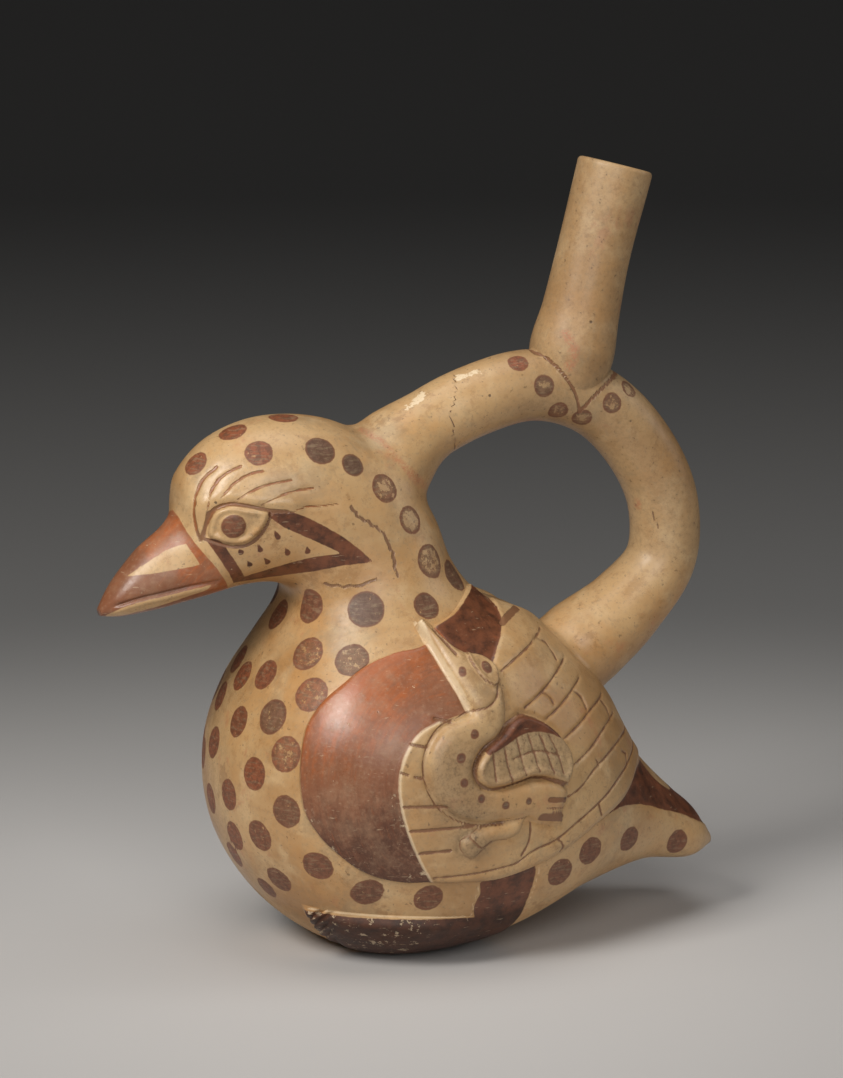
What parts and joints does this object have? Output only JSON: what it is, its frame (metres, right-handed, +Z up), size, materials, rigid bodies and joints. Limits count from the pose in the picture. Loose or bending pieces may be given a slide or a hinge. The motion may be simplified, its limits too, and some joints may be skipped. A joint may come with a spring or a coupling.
{
  "type": "stirrup spout vessel",
  "caption": "Hollow fired clay bottle shaped as a resting water bird with relief wings, and a stirrup handle that carries the pouring spout.",
  "frame": {"origin": "on the flat underside, on the middle plane, below the front of the stirrup", "axes": "+Z up, the bird looks along -X, +Y across the bird, which is the same on both sides of the XZ plane"},
  "size_m": [0.1938, 0.1196, 0.2343],
  "materials": {
    "slipped_clay": "cream slip with brown and red-brown painting, burnished by hand to a soft sheen"
  },
  "bodies": {
    "root": {"stirrup_spout_vessel": "slipped_clay"}
  },
  "joints": []
}
